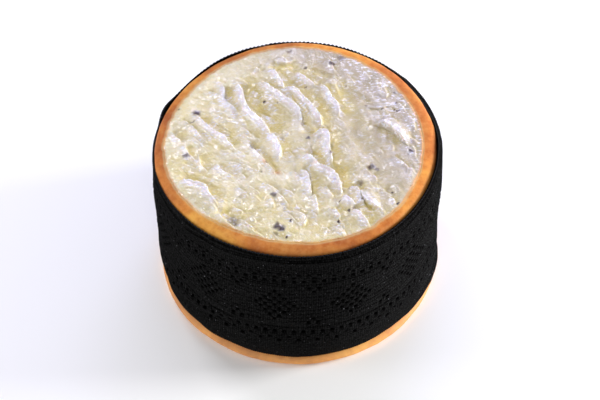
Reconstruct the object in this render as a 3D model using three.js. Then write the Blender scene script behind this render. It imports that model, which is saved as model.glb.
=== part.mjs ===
// A small soft cheese wheel, opened for serving, with a lace band bound round its side.
// Millimetres, +Z up, the front towards -Y. The wheel stands on its flat base at z = 0.

import * as THREE from 'three';

// Wheel
const rimRadius = 48;             // outer edge of the rind that shows round the top
const rimHeight = 61;             // that edge, above the base
const pasteRadius = 43.9;         // where the rind's ring ends and the bare paste starts
const pasteRise = 1.5;            // paste above the outer edge of the ring
const baseFlat = 45.6;            // radius of the flat that the wheel stands on
const heelRadius = 51.2;          // pull of the foot's curve, which squeezes out under the band to about 50
const heelHeight = 2.6;
const wheelSides = 72;
const pasteRings = 16;

// Lace band
const bandBottom = 4.4;
const bandTop = 61.6;
const bandThickness = 1.2;
const bandGap = 0.3;              // clearance between the band and the rind, and between its layers
const bandStart = 78;             // degrees; the lap is at the back, centred on 90
const bandLap = 24;               // degrees of overlap where the end lies over the start
const bandLift = 18;              // degrees over which the end climbs onto the start
const bandStep = 6;

// The wheel was made by hand: three slow waves round its top, as [waves, cosine, sine] parts of the radius
const outOfRound = [[2, -0.001, 0.0025], [3, -0.0055, -0.0025], [4, 0.003, 0.004]];
const roundBelow = 4;             // height up to which the foot is a plain circle

// How far the side leans over to +X, by height
const lean = [
  [0.25, 0],
  [0.25, 2],
  [-0.1, 9],
  [0.3, 30],
  [0.7, 44],
  [0.7, 57],
  [0, 61],
];

// Radius of the wall under the band, by height, before it is put out of round
const wall = [
  [47.4, 4],
  [48.5, 9],
  [48.7, 15],
  [48.4, 22],
  [48.2, 32],
  [48.5, 44],
  [48.3, 53],
  [47.9, 58.5],
];

// Ridges torn in the paste: start x, y, end x, y, height, half-width
const ridges = [
  [-12, 30, 2.5, 8, 2.6, 2.6],
  [-7, 23, 8.5, 4, 2.0, 4.0],
  [-25, 27, -14, 10, 2.2, 3.2],
  [-34, 10, -23, 0, 1.6, 3.0],
  [-17, 10, -5, -10, 2.0, 3.4],
  [2.5, -8, 16, -27, 2.6, 2.6],
  [3.5, 1, 12, -11, 1.8, 2.4],
  [28, 5, 38, -6, 2.2, 3.0],
  [22, -21, 27, -29, 1.6, 2.2],
  [-40, -17, -26, -28, 1.6, 3.0],
];
// A long smooth groove that the spoon left: x, y points
const groove = [[8.5, 33.5], [21, 21.5], [25.5, 7], [28, -8]];
const grooveDepth = 1.6;
const grooveWidth = 3.2;

const radians = THREE.MathUtils.degToRad;

// Reads a list of [value, height] at any height, straight between its points
function valueAt(list, height) {
  for (let i = 1; i < list.length; i += 1) {
    const [lowValue, low] = list[i - 1];
    const [highValue, high] = list[i];
    if (height <= high) {
      return lowValue + (highValue - lowValue) * Math.max(0, (height - low) / (high - low));
    }
  }
  return list.at(-1)[0];
}

function roundness(angle, height) {
  let waves = 0;
  for (const [count, cosine, sine] of outOfRound) {
    waves += cosine * Math.cos(count * angle) + sine * Math.sin(count * angle);
  }
  return 1 + waves * THREE.MathUtils.smoothstep(height, roundBelow, rimHeight);
}

// Puts every vertex of a shape of revolution out of round and leans it
function shapeByHand(geometry) {
  const position = geometry.getAttribute('position');
  for (let i = 0; i < position.count; i += 1) {
    const x = position.getX(i);
    const y = position.getY(i);
    const z = position.getZ(i);
    const scale = roundness(Math.atan2(y, x), z);
    position.setXYZ(i, x * scale + valueAt(lean, z), y * scale, z);
  }
}

function distanceToLine(x, y, x0, y0, x1, y1) {
  const line = new THREE.Line3(new THREE.Vector3(x0, y0, 0), new THREE.Vector3(x1, y1, 0));
  const point = new THREE.Vector3(x, y, 0);
  return line.closestPointToPoint(point, true, new THREE.Vector3()).distanceTo(point);
}

// Height of the torn paste over its resting level, fading out where it meets the rind
function pasteRelief(x, y) {
  let height = 0;
  for (const [x0, y0, x1, y1, rise, width] of ridges) {
    const distance = distanceToLine(x, y, x0, y0, x1, y1);
    height = Math.max(height, rise * Math.exp(-((distance / width) ** 2)));
  }
  let cut = 0;
  for (let i = 1; i < groove.length; i += 1) {
    const distance = distanceToLine(x, y, ...groove[i - 1], ...groove[i]);
    cut = Math.max(cut, grooveDepth * Math.exp(-((distance / grooveWidth) ** 2)));
  }
  const fade = 1 - THREE.MathUtils.smoothstep(Math.hypot(x, y), 0.86 * pasteRadius, pasteRadius);
  return (height - cut) * fade;
}

function heelCurve() {
  const heel = new THREE.CubicBezierCurve(
    new THREE.Vector2(baseFlat, 0),
    new THREE.Vector2(heelRadius, 0),
    new THREE.Vector2(heelRadius, heelHeight),
    new THREE.Vector2(...wall[0]),
  );
  return heel.getPoints(6);
}

function shoulderCurve() {
  const [wallRadius, wallTop] = wall.at(-1);
  const shoulder = new THREE.CubicBezierCurve(
    new THREE.Vector2(wallRadius, wallTop),
    new THREE.Vector2(wallRadius, rimHeight + 0.2),
    new THREE.Vector2(rimRadius - 1.4, rimHeight + 1.1),
    new THREE.Vector2(pasteRadius, rimHeight + pasteRise),
  );
  return shoulder.getPoints(6);
}

function makeCheeseWheel() {
  const profile = [new THREE.Vector2(0, 0), ...heelCurve()];
  for (const [radius, height] of wall.slice(1, -1)) {
    profile.push(new THREE.Vector2(radius, height));
  }
  profile.push(...shoulderCurve());
  for (let i = 1; i <= pasteRings; i += 1) {
    profile.push(new THREE.Vector2(pasteRadius * (1 - i / pasteRings), rimHeight + pasteRise));
  }
  const geometry = new THREE.LatheGeometry(profile, wheelSides);
  geometry.rotateX(Math.PI / 2);
  shapeByHand(geometry);
  const position = geometry.getAttribute('position');
  for (let i = 0; i < position.count; i += 1) {
    const x = position.getX(i);
    const y = position.getY(i);
    if (position.getZ(i) > rimHeight) {
      position.setZ(i, position.getZ(i) + pasteRelief(x, y));
    }
  }
  geometry.computeVertexNormals();
  const rind = new THREE.MeshStandardMaterial({ color: 0xd4894d, roughness: 0.6, metalness: 0 });
  const mesh = new THREE.Mesh(geometry, rind);
  mesh.name = 'cheese_wheel';
  return mesh;
}

// One strip wound once round the wall, its end lapped over its start
function makeLaceBand() {
  const heights = [bandBottom, ...wall.map(([, height]) => height).slice(1), 60.2, bandTop];
  const section = [];
  for (const height of heights) {
    section.push([valueAt(wall, height) + bandGap, height]);
  }
  for (const height of heights.toReversed()) {
    section.push([valueAt(wall, height) + bandGap + bandThickness, height]);
  }
  const steps = Math.round((360 + bandLap) / bandStep);
  const vertices = [];
  for (let step = 0; step <= steps; step += 1) {
    const turned = step * bandStep;
    const climb = THREE.MathUtils.smoothstep(turned, 360 - bandLift, 360 - bandStep);
    const angle = radians(bandStart + turned);
    for (const [radius, height] of section) {
      const around = (radius + climb * (bandThickness + bandGap)) * roundness(angle, height);
      vertices.push(around * Math.cos(angle) + valueAt(lean, height), around * Math.sin(angle), height);
    }
  }
  const count = section.length;
  const faces = [];
  for (let step = 0; step < steps; step += 1) {
    for (let i = 0; i < count; i += 1) {
      const a = step * count + i;
      const b = step * count + ((i + 1) % count);
      faces.push(a, b, a + count);
      faces.push(b, b + count, a + count);
    }
  }
  const last = steps * count;
  for (let i = 0; i < heights.length - 1; i += 1) {
    const j = count - 1 - i;
    faces.push(i, j, i + 1);
    faces.push(i + 1, j, j - 1);
    faces.push(last + i, last + i + 1, last + j);
    faces.push(last + i + 1, last + j - 1, last + j);
  }
  const geometry = new THREE.BufferGeometry();
  geometry.setAttribute('position', new THREE.Float32BufferAttribute(vertices, 3));
  geometry.setIndex(faces);
  geometry.computeVertexNormals();
  const lace = new THREE.MeshStandardMaterial({ color: 0x1c1c1e, roughness: 0.85, metalness: 0 });
  const mesh = new THREE.Mesh(geometry, lace);
  mesh.name = 'lace_band';
  return mesh;
}

const cheese = new THREE.Group();
cheese.add(makeCheeseWheel(), makeLaceBand());

// The origin is the middle of the footprint, on the surface that the wheel stands on
const box = new THREE.Box3().setFromObject(cheese);
const middle = box.getCenter(new THREE.Vector3());
cheese.position.set(-middle.x, -middle.y, -box.min.z);

export default cheese;
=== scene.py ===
import math

import bpy
import numpy as np
from mathutils import Matrix, Vector


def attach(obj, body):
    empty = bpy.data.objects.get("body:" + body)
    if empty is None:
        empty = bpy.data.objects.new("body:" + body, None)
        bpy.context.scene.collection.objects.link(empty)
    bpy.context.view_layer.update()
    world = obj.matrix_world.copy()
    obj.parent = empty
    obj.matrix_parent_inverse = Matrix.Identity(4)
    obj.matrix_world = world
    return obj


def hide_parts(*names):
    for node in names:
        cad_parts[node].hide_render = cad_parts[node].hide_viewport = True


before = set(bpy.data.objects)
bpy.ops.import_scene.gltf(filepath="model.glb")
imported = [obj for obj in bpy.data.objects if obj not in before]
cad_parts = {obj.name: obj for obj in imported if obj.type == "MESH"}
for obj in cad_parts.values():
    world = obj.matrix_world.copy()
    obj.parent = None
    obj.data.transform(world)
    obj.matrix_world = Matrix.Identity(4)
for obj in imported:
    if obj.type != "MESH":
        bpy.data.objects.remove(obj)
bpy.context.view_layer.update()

# A small soft cheese opened for serving: rind and torn paste, and a black lace band round its side.
# Everything is in metres in the frame of the CAD model; lists of shapes are in millimetres.

mm = 0.001
scene = bpy.context.scene

# The wheel's own measures, the same as its solid's
wheel = dict(
    axis=(-0.17, -0.778),        # the wheel's axis in the frame; the band's lap pushes it off the middle
    rimRadius=48.0,              # outer edge of the ring of rind on top
    rimHeight=61.0,
    pasteRadius=43.9,
    pasteRise=1.5,
    baseFlat=45.6,
    heelRadius=51.2,
    heelHeight=2.6,
    outOfRound=[(2, -0.001, 0.0025), (3, -0.0055, -0.0025), (4, 0.003, 0.004)],
    roundBelow=4.0,
    # sideways lean and radius of the wall, each by height
    lean=[(0.25, 0), (0.25, 2), (-0.1, 9), (0.3, 30), (0.7, 44), (0.7, 57), (0, 61)],
    wall=[(47.4, 4), (48.5, 9), (48.7, 15), (48.4, 22), (48.2, 32), (48.5, 44), (48.3, 53), (47.9, 58.5)],
)


def smoothstep(x, low, high):
    t = np.clip((np.asarray(x, float) - low) / (high - low), 0.0, 1.0)
    return t * t * (3.0 - 2.0 * t)


def hump(x, middle, width):
    return np.exp(-((x - middle) / width) ** 2)


def bumpAt(degrees, middle, width):
    away = (degrees - middle + 180) % 360 - 180
    return np.exp(-(away / width) ** 2)


# Out-of-roundness of the hand-made wheel, fading to a plain circle at the foot
def roundness(angle, height=61.0):
    waves = 0.0
    for count, cosine, sine in wheel["outOfRound"]:
        waves = waves + cosine * np.cos(count * angle) + sine * np.sin(count * angle)
    return 1.0 + waves * smoothstep(height, wheel["roundBelow"], wheel["rimHeight"])


def byHeight(name, height):
    values, heights = zip(*wheel[name])
    return np.interp(height, heights, values)


# Value noise from -1 to 1 with features about size wide
def noise(x, y, size, seed, z=0.0):
    table = np.random.default_rng(seed).random((64, 64, 64)) * 2.0 - 1.0
    starts = (31.7, 47.3, 11.0)
    place = np.broadcast_arrays(*(np.asarray(v) / size + start for v, start in zip((x, y, z), starts)))
    whole = [np.floor(v).astype(int) for v in place]
    part = [v - w for v, w in zip(place, whole)]
    part = [t * t * (3 - 2 * t) for t in part]
    total = 0.0
    for corner in range(8):
        steps = [corner >> k & 1 for k in range(3)]
        weight = 1.0
        for t, step in zip(part, steps):
            weight = weight * (t if step else 1 - t)
        total = total + weight * table[tuple((w + step) % 64 for w, step in zip(whole, steps))]
    return total


def linear(hexCode):
    channels = [int(hexCode[i:i + 2], 16) / 255 for i in (1, 3, 5)]
    return tuple(c / 12.92 if c <= 0.04045 else ((c + 0.055) / 1.055) ** 2.4 for c in channels) + (1.0,)


# Adds a node with its settings. An input takes a value, a colour's hex code, a socket or a node, which gives
# its first output. The stops of a colour ramp are places and hex codes.
def addNode(tree, kind, inputs=None, stops=None, **settings):
    node = tree.nodes.new(kind)
    for name, value in settings.items():
        setattr(node, name, value)
    for name, value in (inputs or {}).items():
        if isinstance(value, str):
            value = linear(value)
        if isinstance(value, bpy.types.Node):
            value = next(socket for socket in value.outputs if socket.enabled)
        if isinstance(value, bpy.types.NodeSocket):
            tree.links.new(value, node.inputs[name])
        else:
            node.inputs[name].default_value = value
    for index, (place, colour) in enumerate(stops or []):
        ramp = node.color_ramp.elements
        stop = ramp[index] if index < 2 else ramp.new(place)
        stop.position, stop.color = place, linear(colour)
    return node


# A new material, its empty tree, and the place of a point on the surface
def newMaterial(name):
    material = bpy.data.materials.new(name)
    material.use_nodes = True
    tree = material.node_tree
    tree.nodes.clear()
    return material, tree, addNode(tree, "ShaderNodeTexCoord").outputs["Object"]


# It looks down at the ring of rind, whose middle is a little above and left of the middle of the view
cameraSetup = dict(distance=576.0, elevation=49.12, lens=101.3, above=1.888, left=0.144, roll=1.323)


def makeCamera():
    ring = Vector((wheel["axis"][0], wheel["axis"][1], wheel["rimHeight"]))
    elevation, above, left, roll = (
        math.radians(cameraSetup[key]) for key in ("elevation", "above", "left", "roll"))
    back = Vector((0, -math.cos(elevation), math.sin(elevation)))
    data = bpy.data.cameras.new("camera")
    data.sensor_width = 36
    data.lens = cameraSetup["lens"]
    data.clip_start = 0.01
    camera = bpy.data.objects.new("camera", data)
    scene.collection.objects.link(camera)
    turn = Matrix.Rotation(math.pi / 2 - elevation, 4, "X") @ Matrix.Rotation(-roll, 4, "Z")
    turn = turn @ Matrix.Rotation(-above, 4, "X") @ Matrix.Rotation(-left, 4, "Y")
    camera.matrix_world = turn
    camera.location = (ring + back * cameraSetup["distance"]) * mm
    scene.camera = camera


# Soft boxes: name, place in mm, what it faces, width and height in mm, watts, colour
softBoxes = [
    ("back", (220, 520, 480), (0, 0, 60), (340, 340), 0.8, "#c0c0ff"),
    ("strip", (40, 440, 560), (0, 0, 60), (420, 50), 1.1, "#d8d8ff"),
    ("key", (-230, 300, 600), (0, 0, 60), (150, 150), 1.3, "#f8f6ff"),
    ("right", (640, 60, 150), (0, 0, 35), (220, 220), 7.5, "#ffffff"),
    ("left", (-640, -20, 170), (0, 0, 35), (220, 220), 1.6, "#ffffff"),
    ("front", (-60, -620, 420), (0, -80, 0), (360, 360), 1.2, "#fffdf8"),
]


def makeLights():
    for name, place, target, size, watts, colour in softBoxes:
        data = bpy.data.lights.new(name, "AREA")
        data.shape = "RECTANGLE"
        data.size, data.size_y = size[0] * mm, size[1] * mm
        data.energy = watts
        data.color = linear(colour)[:3]
        light = bpy.data.objects.new(name, data)
        light.location = Vector(place) * mm
        light.rotation_euler = (Vector(target) - Vector(place)).to_track_quat("-Z", "Y").to_euler()
        scene.collection.objects.link(light)
    world = bpy.data.worlds.new("studio")
    world.use_nodes = True
    background = world.node_tree.nodes["Background"]
    background.inputs["Color"].default_value = linear("#f7f7fa")
    background.inputs["Strength"].default_value = 0.38
    scene.world = world


def makeFloor():
    half = 1.6
    mesh = bpy.data.meshes.new("floor")
    corners = [(-half, -half, 0), (half, -half, 0), (half, half, 0), (-half, half, 0)]
    mesh.from_pydata(corners, [], [(0, 1, 2, 3)])
    floor = bpy.data.objects.new("floor", mesh)
    scene.collection.objects.link(floor)
    material, tree, _ = newMaterial("studioPaper")  # matt white paper sweep
    shader = addNode(tree, "ShaderNodeBsdfPrincipled", {"Base Color": "#fbfbfb", "Roughness": 0.9,
                                                        "Specular IOR Level": 0.2})
    addNode(tree, "ShaderNodeOutputMaterial", {"Surface": shader})
    mesh.materials.append(material)


scene.view_settings.view_transform = "Standard"
makeCamera()
makeLights()
makeFloor()
print("camera, lights and floor are in place")


# Makes a mesh object from points in mm about the wheel's axis, with its values as attributes
def makePiece(name, points, faces, material, attributes=None, smooth=True):
    mesh = bpy.data.meshes.new(name)
    places = np.asarray(points, float).copy()
    places[:, 0] += wheel["axis"][0]
    places[:, 1] += wheel["axis"][1]
    mesh.from_pydata((places * mm).tolist(), [], faces)
    for key, values in (attributes or {}).items():
        layer = mesh.attributes.new(key, "FLOAT", "POINT")
        layer.data.foreach_set("value", np.asarray(values, np.float32))
    mesh.materials.append(material)
    mesh.polygons.foreach_set("use_smooth", [smooth] * len(mesh.polygons))
    mesh.validate()
    mesh.update()
    piece = bpy.data.objects.new(name, mesh)
    scene.collection.objects.link(piece)
    return piece


# Quads between rings of points that each close on themselves; counted from the first ring up
def ringFaces(rings, count, start=0):
    faces = []
    for ring in range(rings - 1):
        a = start + ring * count
        for i in range(count):
            j = (i + 1) % count
            faces.append((a + i, a + j, a + count + j, a + count + i))
    return faces


def bezier(a, b, c, d, steps):
    t = np.linspace(0, 1, steps + 1)[:, None]
    a, b, c, d = (np.array(p, float) for p in (a, b, c, d))
    return (1 - t) ** 3 * a + 3 * (1 - t) ** 2 * t * b + 3 * (1 - t) * t ** 2 * c + t ** 3 * d


rind = dict(
    sides=480,
    innerEdge=[(1, -0.008, -0.003), (2, 0.001, -0.009), (3, -0.005, -0.009), (4, -0.001, 0.003)],
    unevenness=0.22,   # mm, slow waves in the skin
    pores=0.03,        # mm, its fine grain
    # degrees round the ring, and how much it is browned and darkened there: painted shade
    brownAndShade=[(0, 1.0), (35, 1.0), (70, 0), (130, 0.2), (176, 1.0), (198, 0.7), (220, 0), (245, 0.3),
           (268, 1.0), (292, 0.8), (315, 0.4), (340, 0.35)],
    shoulderSteps=22,
)


# Radius where the ring of rind ends and the paste starts
def pasteEdge(angle):
    total = 1.0
    for count, cosine, sine in rind["innerEdge"]:
        total = total + cosine * np.cos(count * angle) + sine * np.sin(count * angle)
    x, y = 44 * np.cos(angle), 44 * np.sin(angle)
    return wheel["pasteRadius"] * total + 0.28 * noise(x, y, 2.6, 5) + 0.15 * noise(x, y, 0.9, 6)


def rindProfile():
    flat, heel, foot = wheel["baseFlat"], wheel["heelRadius"], wheel["heelHeight"]
    rim, top = wheel["rimRadius"], wheel["rimHeight"]
    wallRadius, wallTop = wheel["wall"][-1]
    low = bezier((flat, 0), (heel, 0), (heel, foot), wheel["wall"][0], 14)
    side = [(byHeight("wall", z), z) for z in np.linspace(4.0, wallTop, 36)[1:]]
    shoulder = bezier((wallRadius, wallTop), (rim + 0.6, top + 0.3), (rim - 1.2, top + 1.1),
                      (wheel["pasteRadius"], top + wheel["pasteRise"]), rind["shoulderSteps"])
    return [(0.0, 0.0), (flat * 0.6, 0.0), *low, *side, *shoulder[1:]]


def makeRind():
    count = rind["sides"]
    angles = np.linspace(0, 2 * np.pi, count, endpoint=False)
    cosine, sine = np.cos(angles), np.sin(angles)
    profile = rindProfile()
    shoulderStart = len(profile) - rind["shoulderSteps"]
    edge = pasteEdge(angles)
    points, share, bandShade, brownAndShade = [np.zeros((1, 3))], [np.ones(1)], [np.zeros(1)], [np.zeros(1)]
    tan = np.interp(np.degrees(angles), *zip(*rind["brownAndShade"]), period=360)
    x, y = wheel["rimRadius"] * cosine, wheel["rimRadius"] * sine
    foot = np.maximum(noise(x, y, 7, 15), bumpAt(np.degrees(angles), -10, 45))
    foot = np.maximum(foot, 0)
    for index, (radius, height) in enumerate(profile[1:], 1):
        # 0 below the shoulder, 1 at the paste
        part = max(0, index - shoulderStart + 1) / rind["shoulderSteps"]
        bump = rind["unevenness"] * (noise(x, y, 9, 11, height) + 0.5 * noise(x, y, 4, 12, height))
        bump = bump + rind["pores"] * noise(x + radius, y, 1.1, 13, height)
        bump = bump * (float(smoothstep(radius, 46.5, 48.5)) if height < 2 else 1.0)
        along = radius + (edge - wheel["pasteRadius"]) * part ** 2 + bump * (1 - part)
        around = along * roundness(angles, height)
        z = height + 0.6 * bump * part
        lean = byHeight("lean", height)
        points.append(np.column_stack([around * cosine + lean, around * sine, z + 0 * angles]))
        share.append(1.0 - 0.7 * smoothstep(edge + 0.9 - along, 0, 1.0) * (part > 0))
        # painted shade: marks the rind under the band, which is painted nearly black
        bandShade.append(smoothstep(z, 5, 7) * (1 - smoothstep(z, 57, 59.5)) + 0 * angles)
        # painted shade: darker by angle near the rim and at the foot's right, with a random mottle at the
        # foot
        brownAndShade.append(tan * smoothstep(z, 40, 58) + foot * (1 - smoothstep(z, 5, 9)))
    inner = edge * roundness(angles)
    for drop, shrink in ((1.2, 0.35), (3.0, 0.6)):  # the ring's inner wall goes down beside the paste
        z = np.full_like(angles, wheel["rimHeight"] + wheel["pasteRise"] - drop)
        points.append(np.column_stack([(inner - shrink) * cosine, (inner - shrink) * sine, z]))
        share.append(np.zeros_like(angles))
    rings = len(points) - 1
    points.append(np.array([[0.0, 0.0, wheel["rimHeight"] - 2.0]]))
    share.append(np.zeros(1))
    faces = ringFaces(rings, count, 1)
    last = 1 + (rings - 1) * count
    for i in range(count):
        j = (i + 1) % count
        faces.append((0, 1 + j, 1 + i))
        faces.append((last + count, last + i, last + j))
    hidden = np.zeros(2 * count + 1)
    shade = {"rindShare": np.concatenate(share), "bandShade": np.concatenate([*bandShade, hidden]),
             "brownAndShade": np.concatenate([*brownAndShade, hidden])}
    piece = makePiece("rind", np.vstack(points), faces, rindSkin(), shade)
    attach(piece, "root")
    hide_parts("cheese_wheel")


# Colour of rind where rindShare is 1 and of paste where it is 0, with a ragged border, and that share
def cheeseColour(tree, place, rindColour, pasteColour):
    rindShare = addNode(tree, "ShaderNodeAttribute", attribute_name="rindShare").outputs["Fac"]
    ragged = addNode(tree, "ShaderNodeTexNoise", {"Vector": place, "Scale": 900.0, "Detail": 3.0})
    shift = addNode(tree, "ShaderNodeMath", {0: ragged, 1: 0.3, 2: -0.15}, operation="MULTIPLY_ADD")
    share = addNode(tree, "ShaderNodeMath", {0: rindShare, 1: shift}, operation="ADD", use_clamp=True)
    colour = addNode(tree, "ShaderNodeMix", {0: share, 6: pasteColour, 7: rindColour}, data_type="RGBA")
    return colour, share


# Orange-tan skin: broad brown and golden patches, and a fine mottle a millimetre across
def rindPatches(tree, place):
    broad = addNode(tree, "ShaderNodeTexNoise", {
        "Vector": place, "Scale": 55.0, "Detail": 3.0, "Roughness": 0.55})
    patches = addNode(tree, "ShaderNodeValToRGB", {"Fac": broad}, [(0.33, "#be7538"), (0.62, "#e9ab4e"),
                                                                   (0.47, "#df9544")])
    fine = addNode(tree, "ShaderNodeTexNoise", {
        "Vector": place, "Scale": 420.0, "Detail": 4.0, "Roughness": 0.6})
    mottle = addNode(tree, "ShaderNodeValToRGB", {"Fac": fine}, [(0.3, "#dfc0a4"), (0.6, "#ffffff")])
    return addNode(tree, "ShaderNodeMix", {
        0: 0.8, 6: patches, 7: mottle}, data_type="RGBA", blend_type="MULTIPLY")


# Smear-ripened rind, washed by hand: smooth, faintly greasy, orange-tan
def rindSkin():
    material, tree, place = newMaterial("smearRipenedRind")
    brownAndShade, bandShade = (addNode(tree, "ShaderNodeAttribute", attribute_name=name).outputs["Fac"]
                      for name in ("brownAndShade", "bandShade"))
    height = addNode(tree, "ShaderNodeSeparateXYZ", {"Vector": place}).outputs["Z"]
    low = addNode(tree, "ShaderNodeMapRange", {"Value": height, "From Min": 0.003, "From Max": 0.006,
                                               "To Min": 0.35, "To Max": 0.0})
    colour = rindPatches(tree, place)
    # browner and darker round the ring by place, painted shade with a random mottle at the foot; paler at the
    # foot; and painted shade, nearly black, under the band
    layers = [(brownAndShade, "#dac6da", "MULTIPLY"), (low, "#f6be84", "MIX"), (bandShade, "#050303", "MIX")]
    for share, over, blend in layers:
        colour = addNode(tree, "ShaderNodeMix", {0: share, 6: colour, 7: over},
                         data_type="RGBA", blend_type=blend)
    colour, share = cheeseColour(tree, place, colour, "#d9c48e")
    grain = addNode(tree, "ShaderNodeTexNoise", {"Vector": place, "Scale": 1400.0, "Detail": 4.0})
    bump = addNode(tree, "ShaderNodeBump", {"Strength": 0.25, "Distance": 0.0002, "Height": grain})
    shader = addNode(tree, "ShaderNodeBsdfPrincipled", {
        "Base Color": colour, "Roughness": 0.55, "Specular IOR Level": 0.2, "IOR": 1.42, "Normal": bump,
        "Subsurface Weight": 0.12, "Subsurface Radius": (1.0, 0.6, 0.3), "Subsurface Scale": 0.001})
    addNode(tree, "ShaderNodeOutputMaterial", {"Surface": shader})
    return material


makeRind()
print("the rind is made")


# Flakes pulled up by the spoon. Each: its raised edge as points, height, slope width behind the edge, depth
# and width of the hollow under it, and how far the edge leans over the hollow. The hollow is on the left of
# the way the points run.
flakes = [
    ([(-12.3, 29.5), (-9.6, 24.5), (-5.5, 20.3), (-1, 16.2), (1.6, 11.5), (2.0, 6.0)],
     2.6, 4.0, 1.6, 1.6, 0.9),
    ([(-6.5, 24.2), (0, 23.2), (3, 19), (5.6, 14.6), (8.2, 9.5), (9.2, 4.2)], 2.5, 5.0, 1.5, 1.8, 0.7),
    ([(-21, 29), (-19.4, 24.8), (-18.5, 19), (-16.2, 13.6), (-12.6, 9.5), (-9.6, 4.5), (-7.2, -0.5)],
     2.3, 4.0, 2.2, 2.6, 0.8),
    ([(-25.6, 27), (-24.8, 22), (-24.4, 18.4), (-21.5, 15), (-18.6, 11.4)], 1.4, 3.0, 1.5, 1.5, 0.5),
    ([(-35, 14), (-32.8, 10), (-29.5, 6), (-25.6, 3), (-22.4, -1), (-19.6, -4.5)], 1.5, 3.2, 1.3, 1.7, 0.5),
    ([(-37, 9), (-34.2, 5), (-31.8, 1.5), (-29.6, -1)], 0.9, 2.0, 0.8, 1.0, 0.3),
    ([(-43, 6), (-41, 3), (-38.5, 0)], 0.8, 2.2, 0.7, 1.2, 0.2),
    ([(-9.6, 4.5), (-7.4, 0.5), (-5.6, -4.5), (-5.9, -9.6)], 1.7, 3.6, 1.2, 1.8, 0.6),
    ([(1.4, -4.5), (4.2, -9), (8, -12.8), (11.5, -15.4), (13.9, -19.5), (15, -24.8)],
     2.8, 3.6, 2.0, 2.0, 1.1),
    ([(15, -24.8), (17.2, -26.6), (19.9, -28.6)], 1.6, 2.4, 0.9, 1.2, 0.5),
    ([(5.4, 2.8), (10.4, 2.6), (10.7, -3), (11.4, -8), (12.6, -12.4)], 2.2, 2.8, 1.5, 1.6, 0.8),
    ([(1.2, -12.4), (3.6, -15.6), (3.9, -20), (4.3, -25)], 1.5, 2.2, 1.4, 1.4, 0.5),
    ([(5.4, -22.6), (6.3, -28), (6.5, -33)], 1.0, 1.5, 0.7, 1.0, 0.3),
    ([(8.8, 25), (11.2, 22.4), (12.8, 18.4), (14.7, 15.2), (15.6, 10.6)], 1.8, 3.6, 1.3, 1.8, 0.5),
    ([(-8, 35), (-6.2, 31), (-4.6, 27.6), (-3, 25)], 1.4, 2.6, 1.4, 1.8, 0.4),
    ([(0.2, 32.6), (3.8, 29), (6.8, 26.2), (8.4, 24)], 1.4, 2.0, 0.9, 1.6, 0.3),
    ([(16.2, -20.4), (20.4, -21.6), (21.4, -25.4), (22.8, -29.4)], 1.2, 3.0, 1.6, 1.0, 0.3),
    ([(16.8, -30.6), (20.3, -32.4), (22.2, -35.6), (24.2, -38.2)], 1.3, 3.0, 1.1, 2.0, 0.4),
    ([(-40.6, -17.6), (-35.8, -17.8), (-31, -20), (-28.8, -24), (-26, -28.4)], 1.8, 4.2, 1.2, 1.6, 0.5),
    ([(-27, -30.6), (-23, -35), (-19.6, -38)], 1.2, 2.2, 1.1, 2.2, 0.2),
    ([(-37.8, -0.6), (-36.8, -4.6), (-33.2, -9)], 1.0, 3.6, 0.9, 1.2, 0.3),
    ([(-33.4, -4.6), (-32.2, -9.6), (-29.4, -13.4)], 0.8, 2.0, 0.8, 1.2, 0.2),
    ([(-27, -8.8), (-24.8, -12.6), (-20.6, -16)], 1.0, 2.4, 0.8, 1.6, 0.2),
    ([(11.8, -29.6), (13.6, -32), (14.2, -34.4)], 1.1, 1.6, 0.8, 1.0, 0.2),
    ([(-17, 1.8), (-15, -2.4), (-11.4, -7.4), (-8.2, -12.8), (-5.4, -17)], 0.7, 3.0, 1.4, 0.9, 0.1),
    ([(-2.6, -30), (1.6, -31.8), (2.4, -34.8), (0.4, -38)], 0.9, 2.6, 0.6, 1.2, 0.2),
]
# The other way round: the hollow is on the right
mirroredFlakes = [
    ([(27.0, 6.6), (30.6, 6.2), (33.8, 3.6), (36.6, -0.2), (38.4, -4.4)], 2.8, 2.6, 0.9, 1.6, 0.7),
    ([(21.8, -20.6), (22.2, -24.2), (24.2, -27.8), (27.8, -31)], 1.7, 2.6, 1.3, 1.0, 0.4),
    ([(-7.6, 38.2), (-4, 36.6), (-1, 37.6), (0.6, 39)], 0.5, 2.2, 1.0, 2.0, 0.2),
    ([(24.6, 14.4), (29, 14.2), (33.5, 14.6), (36.6, 13.4)], 0.45, 1.8, 0.4, 1.0, 0.1),
]
# Smooth troughs that the spoon drew: points, depth, half-width
troughs = [
    ([(4.2, 34.6), (8.5, 32), (13.5, 29), (18.5, 24.6), (23.5, 19), (28.5, 14.4)], 1.0, 1.1),
    ([(15, 29), (17.6, 21), (20, 13), (22.4, 4), (24.6, -6)], 1.3, 3.4),
    ([(-27, -30.2), (-20, -30.6), (-13, -30.8)], 0.7, 1.5),
    ([(2.6, 9), (4, 5.4), (6.8, 3.6)], 1.5, 1.3),
    ([(-34.5, -27), (-31, -29.4), (-28, -30)], 0.9, 1.8),
    ([(-39, -15.8), (-34, -16), (-30, -18)], 0.7, 1.2),
]
paste = dict(
    grid=300,            # quads across
    level=0.15,          # mm above the ring's inner edge
    relief=0.82,         # how much of their listed height the flakes keep
    tuck=0.5,            # mm that its border goes under the rind's inner edge
    tear=0.28,           # mm, how far tears wander
    ragged=0.12,         # mm, fine raggedness of torn edges
    strands=0.12,        # mm, strands along the pull
    layers=0.17,         # share of a flake's height that shows as layers behind its edge
    crumb=0.05,          # mm, fine grain
    littleFlakes=230,
    fallenRind=[(-10.5, -9, 0.9), (-6.6, -14, 1.2)],  # crumbs of rind on it: x, y, radius
    crumbs=(30000.0, 0.0002, 4),  # scattered lumps: number to a square metre, radius in metres, seed
)


# Heading in degrees in which the spoon pulled the paste, from left to right of the top
def pullAt(x):
    return -48.0 - 0.4 * x


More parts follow.
